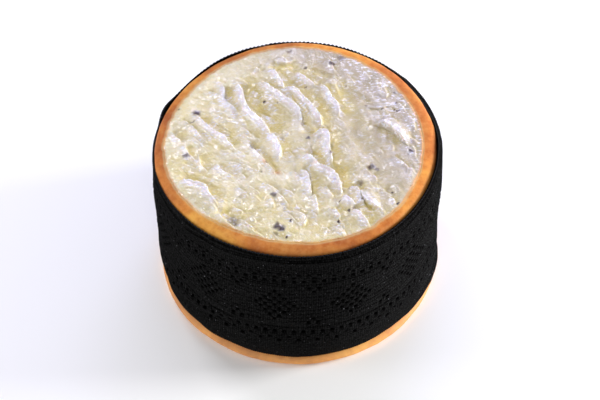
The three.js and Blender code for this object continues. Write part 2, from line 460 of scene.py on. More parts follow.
# Evenly spaced points along a smooth curve through a few points
def smoothPath(points, steps=40):
    p = np.array(points, float)
    p = np.vstack([2 * p[0] - p[1], p, 2 * p[-1] - p[-2]])
    out = []
    for i in range(1, len(p) - 2):
        t = np.linspace(0, 1, 24, endpoint=False)[:, None]
        a, b, c, d = p[i - 1], p[i], p[i + 1], p[i + 2]
        out.append(0.5 * (2 * b + (c - a) * t + (2 * a - 5 * b + 4 * c - d) * t ** 2
                          + (3 * b - a - 3 * c + d) * t ** 3))
    out = np.vstack(out + [p[-2:-1]])
    run = np.concatenate([[0], np.cumsum(np.linalg.norm(np.diff(out, axis=0), axis=1))])
    even = np.linspace(0, run[-1], steps)
    return np.column_stack([np.interp(even, run, out[:, k]) for k in (0, 1)])


# Signed distance to a path, positive on its left, how far along it from 0 to 1, and the way to its left there
def alongPath(x, y, path):
    way = np.gradient(path, axis=0)
    way /= np.linalg.norm(way, axis=1)[:, None]
    best = np.full(x.shape, 1e9)
    index = np.zeros(x.shape, int)
    for i, (px, py) in enumerate(path):
        square = (x - px) ** 2 + (y - py) ** 2
        closer = square < best
        best = np.where(closer, square, best)
        index[closer] = i
    dx, dy = x - path[index, 0], y - path[index, 1]
    wx, wy = way[index, 0], way[index, 1]
    side = np.sign(wx * dy - wy * dx)
    within = wx * dx + wy * dy
    step = np.linalg.norm(path[1] - path[0])
    share = (index * step + within) / (step * (len(path) - 1))
    return side * np.sqrt(best), share, -wy, wx


def raiseFlake(field, x, y, points, height, slope, depth, hollowWidth, lean, flip=1):
    path = smoothPath(points)
    reach = max(slope * 2.6, hollowWidth * 5) + 1
    low, high = path.min(axis=0) - reach, path.max(axis=0) + reach
    near = (x > low[0]) & (x < high[0]) & (y > low[1]) & (y < high[1])
    distance, share, leftX, leftY = alongPath(x[near], y[near], path)
    distance, leftX, leftY = distance * flip, leftX * flip, leftY * flip
    endTaper = smoothstep(share, -0.02, 0.2) * (1 - smoothstep(share, 0.72, 1.02))
    pointed = 0.35 + 0.65 * smoothstep(share, 0, 0.3) * (1 - smoothstep(share, 0.5, 1.0))
    away = np.abs(distance)
    ramp = np.clip(1 - away / (1.9 * slope * pointed), 0, 1) ** 1.3
    behind = ramp * (1 + paste["layers"] * np.cos(away * 5.2) * np.exp(-away / 2.5))
    front = 1 - smoothstep(distance, 0, 0.35)
    lip = 0.1 * hump(distance, 0, 0.6)
    up = height * endTaper * np.where(distance < 0, behind + lip, (1.1 + paste["layers"]) * front)
    well = np.clip(distance, 0, None) / hollowWidth
    down = depth * endTaper * well * np.exp(1 - well)
    edge = endTaper * np.where(distance < 0, hump(away, 0.3, 1.6), front)
    field["up"][near] = np.maximum(field["up"][near], up)
    field["down"][near] = np.maximum(field["down"][near], down)
    field["edge"][near] = np.maximum(field["edge"][near], edge * min(1.0, height / 1.6))
    shift = lean * endTaper * hump(distance, 0, 1.1) * (distance < 0.9)
    stronger = shift > field["lean"][near]
    for key, value in (("lean", shift), ("leanX", shift * leftX), ("leanY", shift * leftY)):
        part = field[key][near]
        part[stronger] = value[stronger]
        field[key][near] = part


def sculptPaste(x, y):
    field = {key: np.zeros(x.shape) for key in ("up", "down", "edge", "lean", "leanX", "leanY")}
    # tears wander: the flakes are laid on slightly shifted points
    wander, fine = paste["tear"], paste["ragged"]
    wx = x + wander * (noise(x, y, 3.1, 21) + 0.5 * noise(x, y, 1.3, 22)) + fine * noise(x, y, 0.6, 25)
    wy = y + wander * (noise(x, y, 3.1, 23) + 0.5 * noise(x, y, 1.3, 24)) + fine * noise(x, y, 0.6, 26)
    for flake in flakes:
        raiseFlake(field, wx, wy, *flake)
    for flake in mirroredFlakes:
        raiseFlake(field, wx, wy, *flake, flip=-1)
    random = np.random.default_rng(7)
    for _ in range(paste["littleFlakes"]):
        radius, turn = 41 * math.sqrt(random.random()), random.random() * 2 * math.pi
        px, py = radius * math.cos(turn), radius * math.sin(turn)
        heading = math.radians(pullAt(px) + random.normal(0, 12))
        length = random.uniform(2.5, 9.0)
        size = random.uniform(0.2, 0.75)
        ends = [(px, py), (px + length / 2 * math.cos(heading) + 0.3, py + length / 2 * math.sin(heading)),
                (px + length * math.cos(heading), py + length * math.sin(heading))]
        if 14 < px < 27 and -8 < py < 28:
            size *= 0.4
        raiseFlake(field, wx, wy, ends, size, random.uniform(0.9, 1.8), size * 0.8, 0.7, size * 0.4)
    trough = np.zeros(x.shape)
    for points, depth, width in troughs:
        path = smoothPath(points)
        distance, share, _, _ = alongPath(x, y, path)
        taper = smoothstep(share, -0.02, 0.12) * (1 - smoothstep(share, 0.85, 1.02))
        trough = np.maximum(trough, depth * taper * hump(distance, 0, width))
    field["trough"] = trough
    # the spoon left three places smooth
    smooth = hump(x, 21, 5) * smoothstep(y, -10, 0)
    smooth = np.maximum(smooth, hump(x, 10, 12) * hump(y, -40, 4))
    smooth = np.maximum(smooth, hump(x, -17, 6) * hump(y, -25, 4))
    across, along = pullCoordinates(x, y)
    strands = 0.5 - np.abs(noise(across, along * 0.3, 1.6, 31)) * 1.6
    strands = strands + 0.4 * noise(across, along * 0.4, 0.7, 32)
    lumps = 0.5 * noise(x, y, 7.0, 33) + 0.16 * noise(x, y, 3.0, 34)
    crumb = noise(x, y, 0.8, 35) + 0.6 * noise(x, y, 0.45, 36)
    rough = 1 - 0.8 * smooth
    height = paste["relief"] * (field["up"] - np.maximum(field["down"], trough)) + lumps
    height = height + rough * (paste["strands"] * strands + paste["crumb"] * crumb)
    return field, height


# Distances in mm across and along the curved lines of the pull
def pullCoordinates(x, y):
    heading, bend = np.radians(pullAt(x)), np.radians(pullAt(1) - pullAt(0))
    across = (y + np.log(np.cos(heading)) / bend) * math.cos(math.radians(pullAt(0)))
    return across, np.cos(heading) * x + np.sin(heading) * y


def makePaste():
    n = paste["grid"]
    side = np.linspace(-1, 1, n + 1)
    a, b = np.meshgrid(side, side, indexing="ij")
    # squares to circles, so that the grid has no pole
    wide = np.abs(a) >= np.abs(b)
    with np.errstate(divide="ignore", invalid="ignore"):
        radius = np.where(wide, a, b)
        upright = np.pi / 2 - np.pi / 4 * np.nan_to_num(a / b)
        angle = np.where(wide, np.pi / 4 * np.nan_to_num(b / a), upright)
    u, v = radius * np.cos(angle), radius * np.sin(angle)
    turn = np.arctan2(v, u)
    rimShare = np.hypot(u, v)
    edge = (pasteEdge(turn) + paste["tuck"]) * roundness(turn)
    x, y = u * edge, v * edge
    field, height = sculptPaste(x, y)
    calm = 1 - smoothstep(rimShare, 0.93, 1.0)
    top = wheel["rimHeight"] + wheel["pasteRise"]
    z = top + (paste["level"] + height) * calm + 0.08 - 0.5 * smoothstep(rimShare, 0.986, 1.0)
    across, along = pullCoordinates(x, y)
    fallen = np.zeros(x.shape)
    for px, py, size in paste["fallenRind"]:
        fallen = np.maximum(fallen, hump(np.hypot(x - px, y - py), 0, size))
    shade = {
        "rindShare": np.maximum(0.8 * smoothstep(rimShare, 0.965, 0.992), 0.55 * fallen),
        "edge": field["edge"] * calm,
        # painted shade: the hollows under flake edges and the troughs are painted a deeper yellow
        "hollowShade": np.clip((field["down"] + 0.4 * field["trough"]) * calm / 1.1, 0, 1),
        "stain": stains(x, y),
        "across": across,
        "along": along,
    }
    x, y = x + field["leanX"] * calm, y + field["leanY"] * calm
    count = (n + 1) ** 2
    points = np.column_stack([x.ravel(), y.ravel(), z.ravel()])
    index = np.arange(count).reshape(n + 1, n + 1)
    faces = np.column_stack([index[:-1, :-1].ravel(), index[1:, :-1].ravel(), index[1:, 1:].ravel(),
                             index[:-1, 1:].ravel()]).tolist()
    border = np.concatenate([index[:-1, 0], index[-1, :-1], index[:0:-1, -1], index[0, :0:-1]])
    below = points[border] * np.array([0.985, 0.985, 1]) - np.array([0, 0, 2.6])
    points = np.vstack([points, below, [[0, 0, top - 2.6]]])
    middle = len(points) - 1
    for i in range(len(border)):
        j = (i + 1) % len(border)
        faces.append((border[j], border[i], count + i, count + j))
        faces.append((count + j, count + i, middle))
    hidden = np.zeros(len(border) + 1)
    shade = {key: np.concatenate([values.ravel(), hidden]) for key, values in shade.items()}
    piece = makePiece("paste", points, faces, pasteSurface(), shade)
    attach(piece, "root")
    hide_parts("cheese_wheel")
    return piece


# Dark spots of blue-grey mould and thistle in the paste: x, y, radius, how soft, how dark
spots = [
    (-21.2, -33.4, 1.7, 1.0, 0.55), (-20.3, -35, 1.0, 0.7, 0.6), (-6.6, -36.6, 1.4, 0.5, 0.85),
    (-5.4, -37.8, 1.3, 0.5, 0.85), (-7.2, -40, 0.9, 0.6, 0.45), (-34, 13.6, 1.4, 0.5, 0.85),
    (-37.4, -6.2, 1.1, 0.4, 0.7), (13.4, 35.8, 0.9, 0.4, 0.8), (4.0, 34.3, 0.6, 0.4, 0.7),
    (12.6, 20.6, 0.9, 0.4, 0.75), (4.2, 1.0, 0.8, 0.4, 0.8), (11.5, -5.8, 0.9, 0.5, 0.85),
    (11.3, -1.6, 0.9, 0.8, 0.4), (25.3, -12.2, 1.3, 0.4, 0.75), (27.2, -13, 0.7, 0.4, 0.6),
    (21.4, -18.4, 1.0, 0.7, 0.6), (17.2, -21, 0.5, 0.3, 0.7), (21.6, -25.8, 0.5, 0.3, 0.7),
    (31.8, -23.2, 0.5, 0.3, 0.85), (33.4, -28.4, 0.7, 0.3, 0.9), (38.6, -6.2, 0.9, 0.4, 0.8),
    (-31.2, -19, 0.5, 0.3, 0.8), (-8, -23.2, 0.8, 0.4, 0.65), (-4.4, -29.2, 0.4, 0.3, 0.7),
    (-2.4, -34.8, 0.5, 0.3, 0.8), (-4, -41.6, 0.5, 0.3, 0.85), (13.5, -35.4, 0.6, 0.3, 0.85),
    (17.2, -30.6, 0.5, 0.3, 0.8), (14, -27, 0.4, 0.3, 0.6), (34.2, 12.9, 0.5, 0.3, 0.85),
    (35.6, 12.8, 0.5, 0.3, 0.85), (34.8, 16.6, 0.5, 0.3, 0.7), (35.2, 21.4, 0.7, 0.5, 0.5),
    (29.8, 13.6, 0.4, 0.3, 0.7), (-10.3, 18.1, 0.5, 0.3, 0.9), (-7.4, 33.4, 0.4, 0.3, 0.85),
    (-35.4, 9.2, 0.5, 0.4, 0.7), (-6, 17, 0.4, 0.4, 0.5), (-11, 9, 0.5, 0.4, 0.6),
    (16.6, 38.6, 1.3, 0.8, 0.5), (-14.6, -2.4, 0.7, 0.5, 0.6), (-9.8, -9.2, 0.4, 0.3, 0.7),
    (-11.8, -13.6, 0.4, 0.3, 0.7), (-40.2, 15.8, 0.5, 0.4, 0.6), (-1.6, 42.2, 0.9, 0.6, 0.6),
    (3.8, 25.6, 0.3, 0.3, 0.6), (18, 25.4, 0.3, 0.3, 0.6), (24.6, 15.4, 0.5, 0.5, 0.5),
    (38, -21, 0.4, 0.3, 0.6), (-4.6, 1.6, 0.9, 0.9, 0.4), (13.4, -42, 0.5, 0.5, 0.6),
    (-9.2, -43.0, 0.6, 0.5, 0.7),
]


def stains(x, y):
    dark = np.zeros(x.shape)
    wobbleX = x + 0.5 * noise(x, y, 1.0, 41)
    wobbleY = y + 0.5 * noise(x, y, 1.0, 42)
    for px, py, radius, soft, strength in spots:
        distance = np.hypot(wobbleX - px, wobbleY - py)
        inner, outer = radius * (1 - soft) * 0.8, radius * (1 + soft)
        dark = np.maximum(dark, strength * (1 - smoothstep(distance, inner, outer)))
    return np.minimum(1.15 * dark, 1)


# Soft sheep's-milk paste, torn with a spoon: creamy, translucent, wet on its raised parts
def pasteSurface():
    material, tree, place = newMaterial("tornCheesePaste")
    edge, hollowShade, stain, across, along = (
        addNode(tree, "ShaderNodeAttribute", attribute_name=name).outputs["Fac"]
        for name in ("edge", "hollowShade", "stain", "across", "along"))
    # noise for its clouds, fine curd, damp, beads and pools
    clouds, curd, damp, beads, pools = (
        addNode(tree, "ShaderNodeTexNoise", {
            "Vector": place, "Scale": scale, "Detail": detail, "Roughness": roughness})
        for scale, detail, roughness in (
            (90.0, 5.0, 0.5), (1100.0, 4.0, 0.6), (260.0, 3.0, 0.5), (780.0, 1.5, 0.5), (380.0, 4.0, 0.7)))
    colour = addNode(tree, "ShaderNodeValToRGB", {"Fac": clouds}, [(0.36, "#dacd9b"), (0.66, "#e1d9bf")])
    # it is yellower at the front, and painted shade makes it darker and greyer towards the back right
    parts = addNode(tree, "ShaderNodeSeparateXYZ", {"Vector": place}).outputs
    slant = addNode(tree, "ShaderNodeMath", {0: parts["Y"], 1: 0.6, 2: parts["X"]}, operation="MULTIPLY_ADD")
    yellowerFront = addNode(tree, "ShaderNodeMapRange", {"Value": parts["Y"], "From Min": -0.018, "From Max": -0.04,
                                                  "To Max": 0.5})
    backRightShade = addNode(tree, "ShaderNodeMapRange", interpolation_type="SMOOTHSTEP", inputs={
        "Value": slant, "From Min": -0.02, "From Max": 0.045, "To Max": 0.8})
    # painted highlight: the raised torn edges are lightened towards lilac-white
    edgeHighlight = addNode(tree, "ShaderNodeMath", {0: edge, 1: 0.7}, operation="MULTIPLY")
    # painted highlights: its wet points and lips are painted nearly white, in strokes about 1.6 by 0.7 mm,
    # most by the torn edges and towards the back right
    strokes = addNode(tree, "ShaderNodeVectorMath", {
        0: place, 1: (600.0, 1400.0, 900.0)}, operation="MULTIPLY")
    glints = addNode(tree, "ShaderNodeTexNoise", {
        "Vector": strokes, "Scale": 1.0, "Detail": 3.0, "Roughness": 0.6})
    glisten = addNode(tree, "ShaderNodeMapRange", {"Value": glints, "From Min": 0.53, "From Max": 0.61})
    crest = addNode(tree, "ShaderNodeMapRange", {"Value": edge, "From Max": 0.5, "To Min": 0.16})
    glintsBackRight = addNode(tree, "ShaderNodeMapRange", {"Value": slant, "From Min": 0.028, "From Max": 0.04,
                                                  "To Max": 0.8})
    crests = addNode(tree, "ShaderNodeMath", {0: crest, 1: glintsBackRight}, operation="MAXIMUM")
    glintPaint = addNode(tree, "ShaderNodeMath", {0: glisten, 1: crests}, operation="MULTIPLY")
    # layers in turn: yellower front, painted shade at the back right and in the hollows, painted highlights,
    # and real stains
    for share, over in ((yellowerFront, "#d1c384"), (backRightShade, "#a5988d"), (hollowShade, "#d0c07e"), (edgeHighlight, "#ebe9fa"),
                        (glintPaint, "#f0f0ff"), (stain, "#3a2a33")):
        colour = addNode(tree, "ShaderNodeMix", {0: share, 6: colour, 7: over}, data_type="RGBA")
    colour, share = cheeseColour(tree, place, rindPatches(tree, place), colour)
    # strands about 0.7 mm apart along the pull, and a finer grain
    pull = addNode(tree, "ShaderNodeCombineXYZ", {"X": across, "Y": along})
    stretch = addNode(tree, "ShaderNodeVectorMath", {0: pull, 1: (1.4, 0.5, 1.0)}, operation="MULTIPLY")
    strands = addNode(tree, "ShaderNodeTexNoise", noise_type="RIDGED_MULTIFRACTAL", inputs={
        "Vector": stretch, "Scale": 1.0, "Detail": 3.0, "Offset": 0.8, "Gain": 1.2})
    pulled = addNode(tree, "ShaderNodeBump", {"Strength": 0.22, "Distance": 0.0004, "Height": strands})
    bump = addNode(tree, "ShaderNodeBump", {
        "Strength": 0.3, "Distance": 0.0003, "Height": curd, "Normal": pulled})
    wet = addNode(tree, "ShaderNodeMapRange", {
        "Value": damp, "From Min": 0.35, "From Max": 0.65, "To Min": 0.42, "To Max": 0.22})
    # whey stands here and there, most on the torn edges, in beads about 1.3 mm apart that catch the light
    film = addNode(tree, "ShaderNodeBump", {"Strength": 0.9, "Distance": 0.0005, "Height": beads})
    pooled = addNode(tree, "ShaderNodeMapRange", {"Value": pools, "From Min": 0.5, "From Max": 0.58,
                                                  "To Min": 0.04, "To Max": 0.95})
    standing = addNode(tree, "ShaderNodeMath", {0: edge, 1: 0.5, 2: pooled}, operation="MULTIPLY_ADD")
    whey = addNode(tree, "ShaderNodeMath", {0: standing, 1: share}, operation="SUBTRACT", use_clamp=True)
    shader = addNode(tree, "ShaderNodeBsdfPrincipled", {
        "Base Color": colour, "Roughness": wet, "Specular IOR Level": 0.35, "IOR": 1.45, "Normal": bump,
        "Subsurface Weight": 0.45, "Subsurface Radius": (1.0, 0.75, 0.4), "Subsurface Scale": 0.0016,
        "Coat Weight": whey, "Coat Roughness": 0.07, "Coat IOR": 1.75, "Coat Normal": film})
    addNode(tree, "ShaderNodeOutputMaterial", {"Surface": shader})
    return material


# Puts a Geometry Nodes tree on a piece, with its inputs by name, and returns the result as a plain mesh piece
def grow(source, tree, values, name):
    modifier = source.modifiers.new(name, "NODES")
    modifier.node_group = tree
    for socket in tree.interface.items_tree:
        if socket.in_out == "INPUT" and socket.name in values:
            modifier[socket.identifier] = values[socket.name]
    evaluated = source.evaluated_get(bpy.context.evaluated_depsgraph_get())
    mesh = bpy.data.meshes.new_from_object(evaluated)
    source.modifiers.remove(modifier)
    mesh.name = name
    piece = bpy.data.objects.new(name, mesh)
    scene.collection.objects.link(piece)
    return piece


def newNodeTree(name, sockets):
    tree = bpy.data.node_groups.new(name, "GeometryNodeTree")
    tree.interface.new_socket("Geometry", in_out="INPUT", socket_type="NodeSocketGeometry")
    for label, kind in sockets:
        tree.interface.new_socket(label, in_out="INPUT", socket_type=kind)
    tree.interface.new_socket("Geometry", in_out="OUTPUT", socket_type="NodeSocketGeometry")
    return tree, addNode(tree, "NodeGroupInput").outputs


# Ends a tree: makes instances real and gives them their material
def endTree(tree, geometry, material):
    real = addNode(tree, "GeometryNodeRealizeInstances", {"Geometry": geometry})
    finished = addNode(tree, "GeometryNodeSetMaterial", {"Geometry": real, "Material": material})
    addNode(tree, "NodeGroupOutput", {"Geometry": finished})


# Flattened lumps of curd, scattered over the faces that look up
def crumbTree(material):
    sockets = [("Density", "NodeSocketFloat"), ("Radius", "NodeSocketFloat"), ("Seed", "NodeSocketInt")]
    tree, given = newNodeTree("scatterCrumbs", sockets)
    normal = addNode(tree, "ShaderNodeSeparateXYZ", {"Vector": addNode(tree, "GeometryNodeInputNormal")})
    upward = addNode(tree, "FunctionNodeCompare", {
        0: normal.outputs["Z"], 1: 0.55}, operation="GREATER_THAN")
    points = addNode(tree, "GeometryNodeDistributePointsOnFaces", {
        "Mesh": given["Geometry"], "Selection": upward, "Density": given["Density"], "Seed": given["Seed"]})
    lump = addNode(tree, "GeometryNodeMeshIcoSphere", {"Radius": given["Radius"], "Subdivisions": 2})
    turn, size = (addNode(tree, "FunctionNodeRandomValue", {0: low, 1: high, "Seed": given["Seed"]},
                          data_type="FLOAT_VECTOR")
                  for low, high in (((0, 0, 0), (0.5, 0.5, 6.28)), ((0.4, 0.4, 0.25), (1.5, 1.0, 0.7))))
    placed = addNode(tree, "GeometryNodeInstanceOnPoints", {
        "Points": points, "Instance": lump, "Rotation": turn, "Scale": size})
    endTree(tree, placed, material)
    return tree


# Loose curd: the same paste, drier and paler
def looseCurd():
    material, tree, place = newMaterial("looseCurd")
    clouds = addNode(tree, "ShaderNodeTexNoise", {"Vector": place, "Scale": 300.0, "Detail": 3.0})
    cream = addNode(tree, "ShaderNodeValToRGB", {"Fac": clouds}, [(0.35, "#cfc6a0"), (0.65, "#e6e2d6")])
    grain = addNode(tree, "ShaderNodeTexNoise", {"Vector": place, "Scale": 3000.0, "Detail": 3.0})
    bump = addNode(tree, "ShaderNodeBump", {"Strength": 0.5, "Distance": 0.0001, "Height": grain})
    shader = addNode(tree, "ShaderNodeBsdfPrincipled", {
        "Base Color": cream, "Roughness": 0.35, "IOR": 1.45, "Normal": bump,
        "Subsurface Weight": 0.3, "Subsurface Radius": (1.0, 0.75, 0.4), "Subsurface Scale": 0.001})
    addNode(tree, "ShaderNodeOutputMaterial", {"Surface": shader})
    return material


def makeCrumbs(base):
    values = dict(zip(("Density", "Radius", "Seed"), paste["crumbs"]))
    piece = grow(base, crumbTree(looseCurd()), values, "curd_crumbs")
    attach(piece, "root")
    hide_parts("cheese_wheel")


makeCrumbs(makePaste())
print("the paste is sculpted")


band = dict(
    start=78.0,            # degrees
    lap=24.0,
    lift=(342.0, 354.0),   # turn over which the end climbs onto the start
    repeats=96,            # eyelets round the whole wheel
    columns=8,             # columns of the mesh to each eyelet, two to each rib
    thickness=1.1,         # mm between the ribs
    lapThickness=0.7,      # each of the two layers is pressed thinner at the lap
    gap=0.3,
    rib=0.22,              # mm
    course=0.2,            # mm, swell between the rows of eyelets
    top=61.5,
    fieldFirst=45.95,      # height of the first row of eyelets in the field
    fieldStep=1.944,
    fieldRows=11,
    eyeletHeight=1.3,
    drawn=(0.7, 1.0),      # share of its full width and height to which the thread draws each hole
    # spacing, size and thread radius in metres, of the loops on the top edge and the stitches of the lap
    picots=(0.00154, 0.00052, 0.00017),
    stitches=(0.0034, 0.0011, 0.00018),
    plainTop=54.3,         # height where the hem starts
    middleRadius=49.5,     # mm, at which its length is measured
)


# Heights of the mesh's rows, each with a name where a hole starts; those above "hem" follow the crease
def bandRows():
    rows = [4.4, 4.75, 5.6, 7.4, 9.6, 11.8, 13.6, 15.2]
    marks = {}

    def addHole(name, middle, height, mid=True):
        marks[name] = len(rows)
        rows.append(middle - height / 2)
        if mid:
            rows.append(middle)
        rows.append(middle + height / 2)

    addHole("zigzag", 16.4, 1.3)
    addHole("smallDashes", 18.1, 0.6, False)
    addHole("lowerRow", 21.15, 1.5)
    rows.extend([23.2, 23.6, 24.0])
    marks["lowerGroove"] = len(rows) - 2
    last = band["fieldRows"] - 1
    for row in range(last, -1, -1):
        addHole(f"field{row}", band["fieldFirst"] - band["fieldStep"] * row, band["eyeletHeight"])
    rows.extend([47.3, 47.7, 48.1])
    marks["upperGroove"] = len(rows) - 2
    addHole("upperRow", 49.65, 1.5)
    addHole("dashes", 51.75, 0.7, False)
    addHole("finest", 53.45, 0.45, False)
    rows.append(band["plainTop"])
    marks["hem"] = len(rows)
    rows.extend(hemRows(60.0))
    return np.array(rows), marks


# Rows between the plain stretch and the top edge, round a crease at a height
def hemRows(crease):
    over = crease + 0.4
    rise = band["top"] - over
    below = crease - 1.5
    return [(band["plainTop"] + below) / 2, below, crease - 0.95, crease - 0.45, crease, over,
            over + 0.3 * rise, over + 0.6 * rise, over + 0.85 * rise, band["top"] + 0 * crease]


# Every hole: first column, last column, first row, last row, over one repeat of 64 columns
def bandHoles(marks):
    holes = []

    def eyelet(middle, mark, half=2, mid=True):
        row = marks[mark]
        holes.append((middle - half, middle + half, row, row + (2 if mid else 1)))

    for row, count in enumerate((1, 2, 3, 4, 5, 4, 3, 2, 1)):
        for i in range(count):
            eyelet(int(8 * (i - (count - 1) / 2)), f"field{row + 1}")
    for side in (-4, 4):
        eyelet(32 + side, "field0")
        eyelet(32 + side, "field10")
    eyelet(32, "field1")
    eyelet(32, "field9")
    for i in range(8):
        eyelet(8 * i, "upperRow")
        eyelet(8 * i, "lowerRow")
        eyelet(8 * i + 4, "finest", 2, False)
    for i in range(4):
        eyelet(16 * i, "dashes", 2, False)
        eyelet(16 * i + 4, "zigzag")
        eyelet(16 * i + 12, "smallDashes", 2, False)
    return holes


# Outer and inner radius and height of the band for one row of the mesh, at an angle and a turn in degrees
def bandShape(degrees, turned, row, rows, marks):
    angle = np.radians(degrees)
    started = 1 - smoothstep(turned, band["lap"], band["lap"] + 8)
    ended = smoothstep(turned, *band["lift"])
    thick = band["thickness"] + (band["lapThickness"] - band["thickness"]) * np.maximum(started, ended)
    pressed = bumpAt(degrees, 180, 34)  # at the left the top of the band lies tight against the rind
    over = (band["lapThickness"] + 0.12) * ended
    # the hem leans in over a crease that sinks at the right and at the front left
    crease = 60.7 - 1.4 * bumpAt(degrees, -38, 40) - 2.6 * bumpAt(degrees, 215, 32)
    height = hemRows(crease)[row - marks["hem"]] if row >= marks["hem"] else rows[row] + 0 * degrees
    lip = np.clip((height - crease) / (band["top"] - crease), 0, 1)
    tight = pressed * smoothstep(height, 46, 57)
    thick = thick - 0.45 * tight
    inner = byHeight("wall", height) + band["gap"] + over
    inner = inner + 0.25 * smoothstep(height, 57.5, 60) * (1 - pressed)
    x, y = wheel["rimRadius"] * np.cos(angle), wheel["rimRadius"] * np.sin(angle)
    # it folds a little more at the front left
    fold = 0.25 * (1 + 1.2 * bumpAt(degrees, 222, 30))
    wrinkle = fold * noise(x, y, 9, 51, height + x * 0.4) + 0.08 * noise(x, y, 2.5, 52, height)
    folded = height - 17 - 0.22 * (degrees - 225)
    wrinkle = wrinkle + 0.8 * bumpAt(degrees, 222, 26) * (hump(folded, 2.2, 2) - hump(folded, -1.6, 1.8))
    outer = inner + thick + wrinkle
    outer = outer + 0.35 * hump(height, crease - 0.95, 0.5) - 0.6 * hump(height, crease, 0.45)
    if 24 < rows[row] < 47:
        courses = (rows[row] - band["fieldFirst"]) / band["fieldStep"]
        outer = outer + band["course"] * math.cos(2 * math.pi * courses)
    standOff = 0.85 + 0.75 * np.cos(angle) - 0.45 * np.sin(angle) - 1.0 * bumpAt(degrees, 22, 28)
    springs = bumpAt(degrees, 158, 9)  # here it springs away from the rind
    standOff = np.maximum(0.4, standOff) + 1.3 * springs
    outer = outer + (wheel["rimRadius"] + standOff + over - outer) * lip ** 1.2
    inner = np.minimum(inner, outer - 0.3)
    edgeDrop = np.maximum(2.0 * bumpAt(degrees, 170, 38), 1.5 * bumpAt(degrees, 60, 50))
    edgeDrop = np.maximum(edgeDrop, 2.4 * bumpAt(degrees, 24, 18))
    edgeDrop = edgeDrop - 0.8 * springs + 0.6 * ended + 0.12 * np.sin(np.radians(degrees * 5)) * lip
    # at the right the bottom edge is stretched down and out over the foot
    stretched = bumpAt(degrees, -5, 25)
    flare = 1.9 * stretched * (1 - smoothstep(height, 4.4, 8))
    height = height - edgeDrop * smoothstep(height, 57, band["top"])
    return outer + flare, inner + flare, height - 1.5 * stretched * (1 - smoothstep(height, 4.4, 8))


# Which quads of the band the holes cut away, and where the points round each hole go, so that it is rounded.
# The thread draws each hole to a size of its own.
def cutHoles(columns, firstPhase, rows, marks):
    cut = np.zeros((columns, len(rows) - 1), bool)
    offsets = {}
    random = np.random.default_rng(11)
    for low, high, bottom, top in bandHoles(marks):
        for base in range(-64, columns + 128, 64):
            left, right = base + low - firstPhase, base + high - firstPhase
            if left < 6 or right > columns - 6:
                continue
            cut[left:right, bottom:top] = True
            middleC, middleR = (left + right) / 2, (bottom + top) / 2
            halfC, halfR = (right - left) / 2, (top - bottom) / 2
            wide, tall = random.uniform(*band["drawn"], 2)
            for c in range(left, right + 1):
                for r in range(bottom, top + 1):
                    across, up = (c - middleC) / halfC, (r - middleR) / halfR
                    if max(abs(across), abs(up)) < 1:
                        continue
                    size = (abs(across) ** 2.6 + abs(up) ** 2.6) ** (1 / 2.6)
                    offsets[c, r] = (middleC + wide * halfC * across / size, tall * up / size, bottom, top)
    return cut, offsets


# Faces of the band: its outer and inner sides where it isn't cut, and the walls round its edges and holes
def laceFaces(cut, front, back):
    columns, rowCount = len(cut), front.shape[1]
    faces = []
    for c in range(columns):
        for r in range(rowCount - 1):
            if not cut[c, r]:
                faces.append((front[c, r], front[c + 1, r], front[c + 1, r + 1], front[c, r + 1]))
    for c in range(0, columns, 2):
        for r in range(rowCount - 1):
            if not cut[c, r]:
                faces.append((back[c, r], back[c, r + 1], back[c + 2, r + 1], back[c + 2, r]))
    solid = np.zeros((columns + 2, rowCount + 1), bool)
    solid[1:-1, 1:-1] = ~cut
    for c in range(0, columns + 1, 2):  # walls across the rows: ends and the sides of holes
        for r in range(rowCount - 1):
            left, right = solid[c, r + 1], solid[c + 1, r + 1]
            if left and not right:
                faces.append((front[c, r], back[c, r], back[c, r + 1], front[c, r + 1]))
            if right and not left:
                faces.append((front[c, r + 1], back[c, r + 1], back[c, r], front[c, r]))
    for c in range(0, columns, 2):  # walls along the columns: edges and the tops and bottoms of holes
        for r in range(rowCount):
            below, above = solid[c + 1, r], solid[c + 1, r + 1]
            if above and not below:
                faces.append((front[c, r], back[c, r], back[c + 2, r], front[c + 2, r], front[c + 1, r]))
            if below and not above:
                faces.append((front[c, r], front[c + 1, r], front[c + 2, r], back[c + 2, r], back[c, r]))
    return faces


